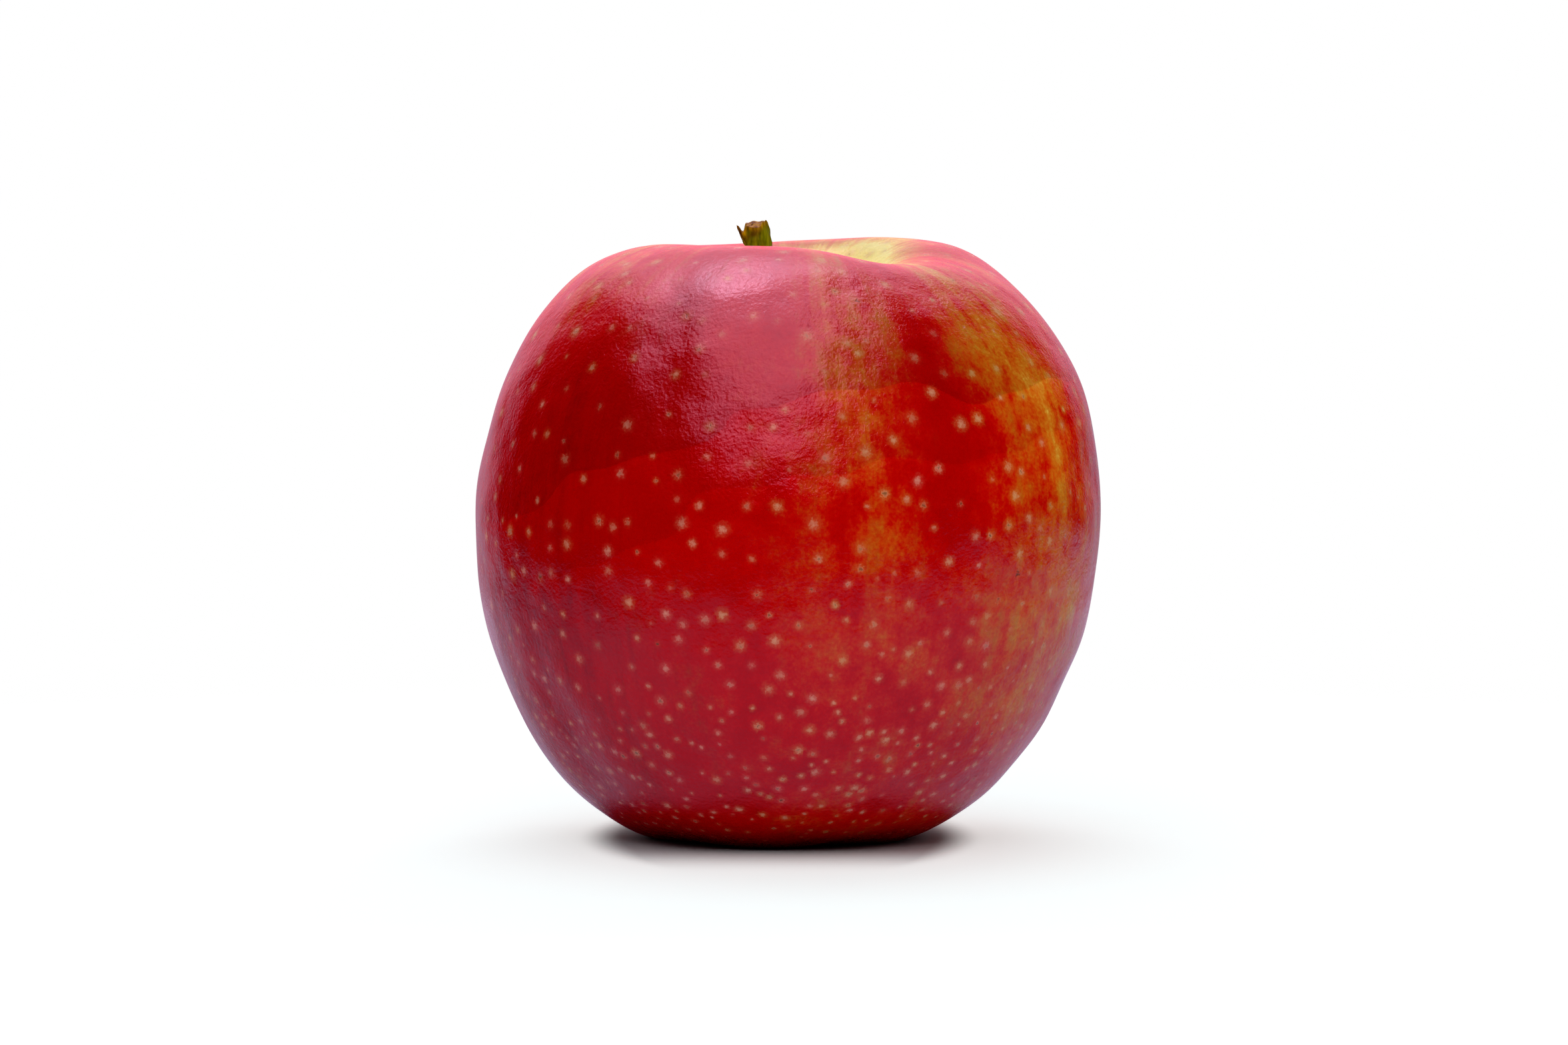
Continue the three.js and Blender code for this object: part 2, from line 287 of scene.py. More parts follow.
def waxed_skin():
    """Apple skin: a red flush, thick or thin, over a yellow ground, under a natural wax.

    The flush lies in streaks that run from stem to base, broken by clouds and a fine grain. Pale corky
    dots lie in it, each with a soft halo where the flush is thin. The wax gives a satin gloss that the
    pebbled skin breaks up.
    """
    material, tree, shader = new_material("waxed_apple_skin")
    place = add(tree, "TexCoord").outputs["Object"]
    given = {}
    for name in ("ground", "depth", "streaky", "cloudy", "dot_clear"):
        given[name] = add(tree, "Attribute", attribute_name=name).outputs["Fac"]
    for name in ("rib", "dot_middle", "dot_look"):
        given[name] = add(tree, "Attribute", attribute_name=name).outputs["Vector"]

    # Streaks of 3 by 25 mm and threads of 1 by 10 mm follow the ribs, which are laid out in mm. For the
    # rest the scale is 1000 over the size: clouds of 7 mm, blotches of 2 mm, grain of 0.4 mm, ragged
    # edges of 0.35 mm, pebbles of 0.5 mm, dimples of 1.6 mm and swells of 7 mm.
    long_way = add(tree, "Mapping", {"Vector": given["rib"], "Scale": (0.36, 0.36, 0.04)}).outputs[0]
    fine_way = add(tree, "Mapping", {"Vector": given["rib"], "Scale": (1.0, 1.0, 0.1)}).outputs[0]
    noise = {}
    for name, vector, scale, detail in (
        ("streaks", long_way, 1.0, 4.0),
        ("threads", fine_way, 1.0, 3.0),
        ("clouds", place, 140.0, 3.0),
        ("blotches", place, 480.0, 3.0),
        ("grain", place, 2400.0, 2.0),
        ("ragged", place, 2900.0, 2.0),
        ("pebble", place, 2100.0, 3.0),
        ("dimples", place, 620.0, 2.0),
        ("swells", place, 150.0, 1.0),
    ):
        settings = {"Vector": vector, "Scale": scale, "Detail": detail, "Roughness": 0.6}
        raw = add(tree, "TexNoise", settings).outputs["Fac"]
        noise[name] = add(tree, "Math", {0: raw, 1: 0.5}, operation="SUBTRACT").outputs[0]

    # How much of the ground shows through.
    shown = given["ground"]
    for name, weight, where in (
        ("streaks", 1.1, "streaky"),
        ("threads", 0.35, "streaky"),
        ("clouds", 0.7, "cloudy"),
        ("blotches", 0.5, "cloudy"),
        ("grain", 0.3, "cloudy"),
    ):
        part = add(tree, "Math", {0: noise[name], 1: weight}, operation="MULTIPLY").outputs[0]
        part = {0: part, 1: given[where], 2: shown}
        shown = add(tree, "Math", part, operation="MULTIPLY_ADD").outputs[0]
    flush = add(tree, "ValToRGB", {"Fac": shown})
    set_ramp(
        flush,
        [
            (0.0, "#a20000"),
            (0.14, "#aa0000"),
            (0.26, "#b40603"),
            (0.36, "#bc1c08"),
            (0.46, "#c23510"),
            (0.56, "#c84f18"),
            (0.66, "#cc6a20"),
            (0.78, "#d48c30"),
            (0.9, "#f2c850"),
            (1.0, "#fff07c"),
        ],
    )
    # The flush's depth darkens it towards a dark red; on the left this is partly painted shade.
    deep = given["depth"]
    for name, weight in (("streaks", 0.7), ("threads", 0.4), ("clouds", 0.6), ("blotches", 0.7)):
        part = {0: noise[name], 1: weight, 2: deep}
        deep = add(tree, "Math", part, operation="MULTIPLY_ADD").outputs[0]

    # Each face knows its nearest dot: its middle, its size, and how yellow and how corky it is.
    look = add(tree, "SeparateXYZ", {"Vector": given["dot_look"]})
    size, yellow, corky = (look.outputs[i] for i in range(3))
    ends = {0: place, 1: given["dot_middle"]}
    away = add(tree, "VectorMath", ends, operation="DISTANCE").outputs["Value"]
    reach = add(tree, "Math", {0: away, 1: size}, operation="DIVIDE").outputs[0]
    reach = add(tree, "Math", {0: noise["ragged"], 1: 1.0, 2: reach}, operation="MULTIPLY_ADD").outputs[0]
    layer = {}
    for name, outer, inner, strength, share in (
        ("deep", 0.0, 1.0, deep, 1.0),
        ("halo", 1.2, 0.0, given["dot_clear"], 0.55),
        ("core", 0.6, -0.1, given["dot_clear"], 0.5),
        ("pore", 0.2, 0.05, corky, 0.9),
    ):
        value = deep if name == "deep" else reach
        limits = {"Value": value, "From Min": outer, "From Max": inner, "To Min": 0.0, "To Max": share}
        shape = add(tree, "MapRange", limits, interpolation_type="SMOOTHSTEP").outputs["Result"]
        if name != "deep":
            shape = add(tree, "Math", {0: shape, 1: strength}, operation="MULTIPLY").outputs[0]
        layer[name] = shape
    skin = flush.outputs["Color"]
    for name, red, golden in (
        ("deep", "#6e0007", "#6e0007"),
        ("halo", "#c4584a", "#c08a3e"),
        ("core", "#e2ae90", "#d8bc78"),
        ("pore", "#5a2c12", "#5a2c12"),
    ):
        pair = {0: yellow, 6: colour(red), 7: colour(golden)}
        tint = add(tree, "Mix", pair, data_type="RGBA").outputs[2]
        skin = add(tree, "Mix", {0: layer[name], 6: skin, 7: tint}, data_type="RGBA").outputs[2]

    # Relief in units of 0.01 mm: the pebbled skin that breaks up the gloss, and low swells.
    height = 0.0
    for part, weight in (
        (noise["pebble"], 8.0),
        (noise["dimples"], 8.0),
        (noise["swells"], 50.0),
        (layer["core"], 1.5),
        (layer["pore"], -3.0),
    ):
        height = add(tree, "Math", {0: part, 1: weight, 2: height}, operation="MULTIPLY_ADD").outputs[0]
    relief = add(tree, "Bump", {"Height": height, "Strength": 1.0, "Distance": 0.01 * MM})
    rough = add(tree, "Math", {0: noise["clouds"], 1: 0.12, 2: 0.25}, operation="MULTIPLY_ADD").outputs[0]
    rough = add(tree, "Math", {0: layer["core"], 1: 0.3, 2: rough}, operation="MULTIPLY_ADD").outputs[0]

    tree.links.new(skin, shader.inputs["Base Color"])
    tree.links.new(rough, shader.inputs["Roughness"])
    tree.links.new(relief.outputs["Normal"], shader.inputs["Normal"])
    shader.inputs["IOR"].default_value = 1.38
    return material


def stem_bark():
    """Green bark with brown cork in lengthwise streaks, and golden brown torn wood at the end.

    It is nearly matt, as dry bark is.
    """
    material, tree, shader = new_material("young_stem_bark")
    place = add(tree, "TexCoord").outputs["Object"]
    torn = add(tree, "Attribute", attribute_name="torn").outputs["Fac"]
    old = add(tree, "Attribute", attribute_name="old").outputs["Fac"]

    # Streaks of 0.6 by 3 mm and brown patches of 2 mm.
    long_way = add(tree, "Mapping", {"Vector": place, "Scale": (1, 1, 0.2)}).outputs[0]
    grain = add(tree, "TexNoise", {"Vector": long_way, "Scale": 1700.0, "Detail": 3.0})
    patch = add(tree, "TexNoise", {"Vector": place, "Scale": 520.0, "Detail": 3.0})
    green = add(tree, "ValToRGB", {"Fac": grain.outputs["Fac"]})
    set_ramp(green, [(0.3, "#454a06"), (0.5, "#626608"), (0.7, "#7d7e14")])
    cork = add(tree, "ValToRGB", {"Fac": grain.outputs["Fac"]})
    set_ramp(cork, [(0.3, "#2b2006"), (0.5, "#4a380a"), (0.72, "#725c1a")])
    wood = add(tree, "ValToRGB", {"Fac": grain.outputs["Fac"]})
    set_ramp(wood, [(0.3, "#2c1c06"), (0.5, "#785408"), (0.7, "#b08616")])
    browner = add(tree, "MapRange", {"Value": patch.outputs["Fac"], "From Min": 0.45, "From Max": 0.65})
    share = {0: browner.outputs["Result"], 1: 0.75, 2: old}
    ageing = add(tree, "Math", share, operation="MULTIPLY_ADD", use_clamp=True).outputs[0]
    pair = {0: ageing, 6: green.outputs["Color"], 7: cork.outputs["Color"]}
    bark = add(tree, "Mix", pair, data_type="RGBA").outputs[2]
    pair = {0: torn, 6: bark, 7: wood.outputs["Color"]}
    whole = add(tree, "Mix", pair, data_type="RGBA").outputs[2]
    relief = add(tree, "Bump", {"Height": grain.outputs["Fac"], "Strength": 1.0, "Distance": 0.1 * MM})
    tree.links.new(whole, shader.inputs["Base Color"])
    tree.links.new(relief.outputs["Normal"], shader.inputs["Normal"])
    shader.inputs["Roughness"].default_value = 0.6
    shader.inputs["Specular IOR Level"].default_value = 0.2
    return material


def dry_tissue(name, dark, mid, pale, fibres):
    """Dried flower parts: brown, matt and slightly downy, finely mottled by shrunken fibres.

    Fibres is how many lie side by side in a metre, 1000 over their width in mm.
    """
    material, tree, shader = new_material(name)
    place = add(tree, "TexCoord").outputs["Object"]
    settings = {"Vector": place, "Scale": fibres, "Detail": 5.0, "Roughness": 0.65}
    grain = add(tree, "TexNoise", settings)
    tint = add(tree, "ValToRGB", {"Fac": grain.outputs["Fac"]})
    set_ramp(tint, [(0.3, dark), (0.5, mid), (0.72, pale)])
    relief = add(tree, "Bump", {"Height": grain.outputs["Fac"], "Strength": 1.0, "Distance": 0.12 * MM})
    tree.links.new(tint.outputs["Color"], shader.inputs["Base Color"])
    tree.links.new(relief.outputs["Normal"], shader.inputs["Normal"])
    shader.inputs["Roughness"].default_value = 0.85
    shader.inputs["Sheen Weight"].default_value = 0.35
    return material


# ---- The skin's colours and dots ----------------------------------------------------------------------

# Where the yellow ground shows through the flush: azimuth, drift of the azimuth per mm down,
# width, lowest and highest height, strength.
GROUND_PATCHES = [
    (9.5, 0.1, 7, 53, 72, 0.33),
    (13.5, 0.0, 9, 40, 57, 0.17),
    (12, 0.0, 16, 20, 42, 0.12),
    (22, 0.0, 5, 60, 70, 0.14),
    (43, 0.0, 7, 42, 66, 0.12),
    (51, 0.0, 9, 56, 80, 0.34),
    (60, 0.0, 8, 45, 60, 0.46),
    (62, 0.0, 20, 14, 44, 0.3),
    (72, 0.0, 16, 64, 80, 0.14),
    (122, 0.0, 34, 2, 80, 0.24),
    (-66, 0.0, 32, 64, 80, 0.36),
    (-175, 0.0, 22, 40, 80, 0.25),
]

# Where the flush is deepest, all on the left, partly a deeper red and partly painted shade on that side:
# azimuth, width, lowest and highest height, strength.
DEEP_FLUSH_AND_SHADE = [
    (-54, 25, 28, 62, 0.35),
    (-25, 8, 64, 72, 0.5),
    (-56, 34, 4, 32, 0.35),
]

# Small scars: azimuth, height, size in mm.
SCARS = [
    (-3, 52.5, 0.5),
    (14.5, 11.2, 0.4),
    (46, 34.5, 0.8),
    (-24, 26.5, 0.3),
    (160, 48, 0.8),
    (-130, 30, 0.5),
    (-98, 58, 0.4),
]

# Mean distance between dots: at the base, how much wider it is at the shoulder, and in the cavity.
DOTS_APART_LOW, DOTS_APART_MORE, DOTS_APART_CAVITY = 2.8, 3.1, 6.0

# How many dots are thrown. Most land too close to another and are dropped.
DOTS_THROWN = 9000


def dot_spacing(z, inside):
    """Mean distance between dots: wide near the shoulder and closer towards the base."""
    outside = DOTS_APART_LOW + DOTS_APART_MORE * ease(z, 6, 50)
    return np.where(inside, DOTS_APART_CAVITY, outside)


def scatter_dots(points, z, inside, seed):
    """Dots thrown at random on the skin; one lands only clear of those already there.

    A point is drawn with a chance in proportion to the area it stands for over the square of the
    spacing there.
    """
    rng = np.random.default_rng(seed)
    span = np.linalg.norm(np.roll(points, -1, 1) - points, axis=-1)
    tall = np.linalg.norm(np.diff(points, axis=0, append=points[-1:]), axis=-1)
    gap = dot_spacing(z, inside)
    weight = (span * tall / gap**2).ravel()
    order = rng.choice(weight.size, DOTS_THROWN, p=weight / weight.sum())
    flat, spacing = points.reshape(-1, 3), gap.ravel()
    kept = np.empty((0, 3))
    chosen = []
    for index in order:
        point = flat[index]
        clear = spacing[index] * rng.uniform(0.3, 1.35)
        if len(kept) == 0 or np.min(np.sum((kept - point) ** 2, axis=1)) > clear**2:
            kept = np.vstack([kept, point])
            chosen.append(index)
    return kept, np.array(chosen)


def nearest(targets, points):
    """For each point, the number of its nearest target, worked out in slices to spare memory."""
    found = np.empty(len(points), int)
    slice_size = 8000
    for start in range(0, len(points), slice_size):
        part = points[start : start + slice_size]
        square = (targets**2).sum(1)[None] - 2 * part @ targets.T
        found[start : start + slice_size] = np.argmin(square, axis=1)
    return found


# ---- The fruit ----------------------------------------------------------------------------------------

# The radius of the drum that the skin's streaks are laid out on.
RIB_R = 38


def make_fruit(material):
    """The skin as one closed surface, with what its material needs to know at every point.

    Gives back the shift from the shape formulas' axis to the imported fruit's place.
    """
    crest_row = SKIN_ROWS[0]
    r, z = meridian(SKIN_ROWS)
    inside = (np.arange(len(r)) < crest_row)[:, None]
    azimuth = -np.arange(SKIN_AROUND)[None, :] * 360 / SKIN_AROUND
    r, z = r[:, None], z[:, None]
    points = skin_points(r, z, azimuth, inside)
    low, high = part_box("fruit")
    middle = (points.reshape(-1, 3).min(0) + points.reshape(-1, 3).max(0)) / 2
    packed = (np.array(low) + np.array(high)) / 2 / MM
    shift = (packed - middle) * [1, 1, 0]
    points = points + shift

    # The skin waves by a tenth of a millimetre, except where it rests.
    outward = points - np.array([0, 0, MID_Z])
    outward /= np.linalg.norm(outward, axis=-1)[..., None]
    wave = 0.12 * ripple(points, 8, 22, 26, 4)
    calm = ease(points[..., 2], 0.5, 6)
    points = points + outward * (wave * calm)[..., None]

    piece = make_piece("apple_skin", [closed_tube(points)], material)
    azimuth, z, inside = np.broadcast_arrays(azimuth, z, inside)
    angle = np.radians(azimuth)
    length = np.cumsum(np.linalg.norm(np.diff(points[:, 0], axis=0, prepend=points[:1, 0]), axis=1))
    length = np.broadcast_to(length[:, None], z.shape)
    rib = np.stack([RIB_R * np.sin(angle), -RIB_R * np.cos(angle), length], -1)

    # Ground shows a little everywhere, more towards the right, and hardly at all in one red stripe.
    ground = 0.12 + 0.18 * bell(azimuth, 42, 58) - 0.2 * bell(azimuth, 30, 5) * band(z, 38, 63, 5)
    for at, drift, width, bottom, top, strength in GROUND_PATCHES:
        middle = at + drift * (66 - z)
        ground = ground + strength * bell(azimuth, middle, width) * band(z, bottom, top, 7)
    # Depth of the flush; the patches on the left add painted shade to a deeper red.
    depth = np.full(z.shape, 0.1)
    for at, width, bottom, top, strength in DEEP_FLUSH_AND_SHADE:
        depth = depth + strength * bell(azimuth, at, width) * band(z, bottom, top, 6)

    # The cavity is bare yellow, which comes over the crest at the far right.
    past_crest = length - length[crest_row]
    reach = 3.6 * bell(azimuth, 134, 46)
    inner = 1 - ease(past_crest, reach - 10.5, reach + 0.8)
    ground = ground + (1.12 - ground) * inner
    ground = ground + 0.1 * (1 - ease(z, 1, 9))
    depth = np.where(inside, 0.0, depth)
    bare = np.clip(ground, 0, 1)
    streaky = 0.2 + 0.5 * bare + (0.35 + 0.5 * bell(azimuth, -66, 34)) * ease(z, 60, 71)
    streaky = np.where(inside, 0.85 - 0.5 * bare, streaky)
    cloudy = np.where(inside, 0.5, 1.0)

    poles = [rib[0].mean(0), rib[-1].mean(0)]
    give(piece, "rib", "FLOAT_VECTOR", "POINT", np.concatenate([rib.reshape(-1, 3), poles]))
    for name, values in (("ground", ground), ("depth", depth), ("streaky", streaky), ("cloudy", cloudy)):
        poles = [values[0].mean(), values[-1].mean()]
        give(piece, name, "FLOAT", "POINT", np.append(values.ravel(), poles))

    dots, chosen = scatter_dots(points, z, inside, 11)
    rng = np.random.default_rng(12)
    height = z.ravel()[chosen]
    size = (0.72 + 0.28 * ease(height, 8, 55)) * rng.uniform(0.7, 1.4, len(dots))
    yellow = np.clip(1.2 * ground.ravel()[chosen] + rng.normal(0, 0.15, len(dots)), 0, 1)
    corky = (rng.uniform(0, 1, len(dots)) < 0.35) * rng.uniform(0.3, 0.9, len(dots))
    covered = np.clip(depth.ravel()[chosen], 0, 1)
    clearness = rng.uniform(0.25, 1, len(dots)) * (1 - 0.6 * covered)

    # Scars are dots too, all pore and hardly any halo.
    for at, level, width in SCARS:
        column = round(-at * SKIN_AROUND / 360) % SKIN_AROUND
        row = crest_row + np.argmin(np.abs(points[crest_row:, column, 2] - level))
        dots = np.vstack([dots, points[row, column]])
        size = np.append(size, 2.5 * width)
        yellow = np.append(yellow, 0.5)
        corky = np.append(corky, 1)
        clearness = np.append(clearness, 0.1)
    middles = np.empty(len(piece.data.polygons) * 3)
    piece.data.polygons.foreach_get("center", middles)
    owner = nearest(dots, middles.reshape(-1, 3) / MM)
    give(piece, "dot_middle", "FLOAT_VECTOR", "FACE", dots[owner] * MM)
    give(piece, "dot_clear", "FLOAT", "FACE", clearness[owner])
    give(piece, "dot_look", "FLOAT_VECTOR", "FACE", np.stack([size * MM, yellow, corky], 1)[owner])

    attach(piece, "root")
    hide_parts("fruit")
    return shift


# ---- The stem -----------------------------------------------------------------------------------------

# The torn end's half width and half depth, and the spare length that it is cut back from.
END_WIDTH, END_DEPTH, END_SPARE = 1.82, 1.9, 1.35


def torn_end(across, tip):
    """How far the stem's end falls short of its tip at each point across it.

    The sum of a slope that drops to the right, a notch at the left less one splinter beyond it, a
    scoop in the near side that shows the torn wood, and small ripples.
    """
    right = (across - tip)[..., 0] / END_WIDTH
    near = -(across - tip)[..., 1] / END_DEPTH
    slope = 0.42 * (1 + right)
    notch = 1.1 * (1 - ease(right, -0.72, -0.34)) - 0.8 * (1 - ease(right, -0.9, -0.74))
    scoop = 0.7 * np.exp(-(((right - 0.1) / 0.4) ** 2)) * ease(near, 0.1, 0.9)
    return notch + scoop + slope + 0.08 * ripple(across * [1, 1, 0], 0.6, 1.6, 12, 5)


def make_stem(material, shift):
    """A woody stub: a collar in the flesh, a waist, and a swollen end torn off across the grain.

    Rings follow a leaning route. The torn end drops on the left, but for one splinter, and its face
    is a shallow cup with fibres standing up in it.
    """
    floor = CREST_Z - CAVITY_DEPTH
    start = np.array([core_lean(floor), 0, floor]) + shift
    rows, around = 150, 84
    s = np.linspace(-0.045, 1, rows)
    bow = np.sign(s) * np.abs(s) ** 1.2
    rise = STEM_RISE + END_SPARE
    route = start + np.stack([STEM_LEAN[0] * bow, STEM_LEAN[1] * bow, rise * s], 1)
    turn = np.linspace(0, 2 * np.pi, around, endpoint=False)
    collar = 0.75 * np.exp(-np.maximum(s, 0) * rise / 0.8)
    girth = 1.1 + 0.2 * (1 - ease(s, 0.05, 0.45)) + 0.8 * ease(s, 0.62, 0.98) + collar
    lumps = 0.035 * np.cos(3 * turn + 1) + 0.03 * np.cos(5 * turn + 2.2)
    radii = girth[:, None] * (1 + lumps[None])
    rings = sweep(route, radii, around)
    rings += 0.05 * ripple(rings, 0.7, 3.5, 18, 21)[..., None] * np.array([1, 1, 0.2])

    tip = route[-1]
    short = torn_end(rings[-1], tip)
    along = tip - route[-2]
    along /= np.linalg.norm(along)
    near_end = ease(s, 0.72, 1.0)[:, None]
    rings -= (near_end * short[None])[..., None] * along
    face_rows = 26
    inwards = np.linspace(1, 0.03, face_rows)[1:, None]
    rim = rings[-1]
    whole = rim + short[:, None] * along
    face = tip + (whole - tip) * inwards[..., None]
    fibres = 0.1 * ripple(face * [1, 1, 0.1], 0.3, 1.0, 24, 9)
    drop = torn_end(face, tip) + (0.35 - fibres) * (1 - inwards**5)
    face -= drop[..., None] * along
    rings = np.concatenate([rings, face])
    piece = make_piece("apple_stem", [closed_tube(rings)], material)

    # How torn and how old the wood is at each ring: the bark is brown in the cavity and at the end.
    share = np.concatenate([s, np.ones(face_rows - 1)])
    torn = np.concatenate([0.9 * ease(s, 0.955, 0.995), np.ones(face_rows - 1)])
    torn = np.repeat(torn, around)
    old = np.repeat(0.5 * (1 - ease(share, 0.1, 0.5)) + 0.55 * ease(share, 0.9, 1.0), around)
    give(piece, "torn", "FLOAT", "POINT", np.append(torn, [0, 1]))
    give(piece, "old", "FLOAT", "POINT", np.append(old, [1, 1]))
    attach(piece, "root")
    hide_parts("stem")


# ---- The calyx ----------------------------------------------------------------------------------------

SEPALS, STAMENS = 5, 18

# Azimuth of the first sepal, and each one's way from the basin's floor to its curled tip, as
# distance from the core and height.
SEPAL_AT = 28
SEPAL_ROUTE = np.array([[2.6, 4.75], [2.15, 3.7], [2.0, 2.8], [2.15, 2.0], [2.8, 1.3]])


def smooth_route(knots, count):
    """A curve through knots: each coordinate a polynomial in the share of the way, of one degree
    less than there are knots."""
    at = np.linspace(0, 1, len(knots))
    share = np.linspace(0, 1, count)
    return np.stack([np.polyval(np.polyfit(at, k, len(knots) - 1), share) for k in knots.T], 1)


def make_sepal(number, material, shift):
    """A dried leaf: rings flattened across it, cupped round the core, crinkled, curling out at its tip."""
    azimuth = math.radians(SEPAL_AT + number * 360 / SEPALS)
    out = np.array([math.sin(azimuth), -math.cos(azimuth), 0])
    across = np.array([math.cos(azimuth), math.sin(azimuth), 0])
    core = np.array([float(core_lean(3)), 0, 0]) + shift
    rows, around = 46, 30
    path = smooth_route(SEPAL_ROUTE, rows)
    route = core + path[:, :1] * out + path[:, 1:] * np.array([0, 0, 1])
    share = np.linspace(0, 1, rows)
    width = 1.05 * (1 - 0.88 * share**2.2) * (0.9 + 0.1 * np.sin(np.pi * share * 2))
    turn = np.linspace(0, 2 * np.pi, around, endpoint=False)
    along = np.gradient(route, axis=0)
    along /= np.linalg.norm(along, axis=1)[:, None]
    outward = np.cross(along, across)
    side = width[:, None] * np.cos(turn)
    thick = 0.13 * np.sqrt(1 - 0.8 * share)[:, None] * np.sin(turn)
    rings = route[:, None] + side[..., None] * across + thick[..., None] * outward[:, None]
    rings -= (0.16 * side**2)[..., None] * out
    crinkle = 0.11 * ripple(rings, 0.8, 2.4, 14, 30 + number)
    rings += crinkle[..., None] * out
    piece = make_piece(f"sepal_{number + 1}_dried", [closed_tube(rings)], material)
    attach(piece, "root")
    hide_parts(f"sepal_{number + 1}")


def make_threads(material, shift):
    """The stamens: bent filaments on a ring, each with a shrivelled anther at its end.

    The styles: a column that forks, with a branch between each two sepals.
    """
    rng = np.random.default_rng(40)
    core = np.array([float(core_lean(5.75)), 0, 0]) + shift
    parts = []
    s = np.linspace(0, 1, 22)
    for i in range(STAMENS):
        azimuth = 2 * math.pi * (i + rng.uniform(-0.25, 0.25)) / STAMENS
        out = np.array([math.sin(azimuth), -math.cos(azimuth), 0])
        skew = np.array([math.cos(azimuth), math.sin(azimuth), 0]) * rng.uniform(-0.35, 0.35)
        lean = rng.uniform(-0.45, 0.2)
        drop = rng.uniform(2.0, 2.9)
        bend = rng.uniform(-0.15, 0.15)
        way = 1.05 + lean * s + bend * np.sin(np.pi * s)
        route = core + way[:, None] * out + (s**2)[:, None] * skew
        route[:, 2] = 6.2 - drop * s
        anther = np.exp(-(((s - 0.93) / 0.06) ** 2))
        parts.append(closed_tube(sweep(route, 0.085 + 0.12 * anther, 8)))
    stamens = make_piece("stamens_dried", parts, material)
    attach(stamens, "root")
    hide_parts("stamens")

    parts = []
    for i in range(SEPALS):
        azimuth = math.radians(SEPAL_AT + (i + 0.5) * 360 / SEPALS)
        out = np.array([math.sin(azimuth), -math.cos(azimuth), 0])
        way = 0.1 + 0.3 * s**2
        route = core + way[:, None] * out
        route[:, 2] = 6.3 - 3.4 * s
        tip = np.exp(-(((s - 1) / 0.08) ** 2))
        parts.append(closed_tube(sweep(route, 0.14 + 0.06 * tip, 10)))
    styles = make_piece("styles_dried", parts, material)
    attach(styles, "root")
    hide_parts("styles")


skin_shift = make_fruit(waxed_skin())
make_stem(stem_bark(), skin_shift)
sepal_tissue = dry_tissue("dried_sepal_tissue", "#2c1d12", "#5f4a33", "#8f7d62", 2200.0)
for index in range(SEPALS):
    make_sepal(index, sepal_tissue, skin_shift)
stamen_thread = dry_tissue("dried_stamen_thread", "#1d120b", "#43301f", "#6d553a", 3000.0)
make_threads(stamen_thread, skin_shift)

# ---- The stage ----------------------------------------------------------------------------------------


def white_card(name, tint, glow, inner, depth, front, gain, middle, near, far):
    """White card with a painted glow: it glows though it is no lamp, so that its shadows are pale and
    soft.

    Its painted glow stops where the apple stands: an oval of half width inner, and of that over depth from
    its middle to its front and back, cut off softly at the distance front. There the card's real shadow
    shows, and the oval's edge is that shadow's outline. It glows gain times as much in front of the apple,
    and fades out into the white surroundings between the distances near and far from its middle. Distances
    are in metres.
    """
    material, tree, shader = new_material(name)
    place = add(tree, "TexCoord").outputs["Object"]
    shaded = add(tree, "Mapping", {"Vector": place, "Scale": (1, depth, 1)}).outputs[0]
    forward = add(tree, "Mapping", {"Vector": place, "Scale": (0, 1, 0)}).outputs[0]
    shares = []
    for where, point, start, end, low, high in (
        (place, middle, near, far, 1.0, 0.0),
        (shaded, (-0.001, 0, 0), inner, inner + 0.006, 0.0, 1.0),
        (forward, (0, 0, 0), front, front + 0.027, 0.0, 1.0),
    ):
        ends = {0: where, 1: point}
        away = add(tree, "VectorMath", ends, operation="DISTANCE").outputs["Value"]
        limits = {"Value": away, "From Min": start, "From Max": end, "To Min": low, "To Max": high}
        shares.append(add(tree, "MapRange", limits, interpolation_type="SMOOTHSTEP").outputs["Result"])
    shader.inputs["Base Color"].default_value = colour(tint)
    shader.inputs["Emission Color"].default_value = colour(glow)
    shader.inputs["Roughness"].default_value = 0.5
    shader.inputs["Specular IOR Level"].default_value = 0.0
    tree.links.new(shares[0], shader.inputs["Alpha"])
    # Painted glow: the card shines outside the oval where the apple stands, which outlines the real shadow
    # inside it.
    painted_glow = add(tree, "Math", {0: shares[1], 1: shares[2]}, operation="MAXIMUM").outputs[0]
    back = add(tree, "SeparateXYZ", {"Vector": place}).outputs[1]
    limits = {"Value": back, "From Min": -0.045, "From Max": -0.005, "To Min": gain, "To Max": 1.0}
    gained = add(tree, "MapRange", limits, interpolation_type="SMOOTHSTEP").outputs["Result"]
    painted_glow = add(tree, "Math", {0: painted_glow, 1: gained}, operation="MULTIPLY").outputs[0]
    tree.links.new(painted_glow, shader.inputs["Emission Strength"])
    return material


def make_floor(name, height, card):
    """A flat disc at a height in mm, just under the apple."""
    radius, corners = 320, 96
    turn = np.linspace(0, 2 * np.pi, corners, endpoint=False)
    points = np.stack([radius * np.cos(turn), radius * np.sin(turn), np.full(corners, height)], 1)
    piece = make_piece(name, [(points, [list(range(corners))])], card)
    return piece


def add_panel(name, width, height, place, aim, radiance, mirrored, tint="#ffffff"):
    """A soft light panel, in metres: radiance times pi times its area is its power.

    Gloss sees a mirrored one; any other only lights.
    """
    light = bpy.data.lights.new(name, "AREA")
    light.shape = "RECTANGLE"
    light.color = colour(tint)[:3]
    light.size, light.size_y = width, height
    light.energy = radiance * math.pi * width * height
    panel = bpy.data.objects.new(name, light)
    bpy.context.scene.collection.objects.link(panel)
    panel.location = place
    way = Vector(aim) - Vector(place)
    panel.rotation_euler = way.to_track_quat("-Z", "Y").to_euler()
    panel.visible_camera = False
    panel.visible_glossy = mirrored
    panel.visible_diffuse = not mirrored
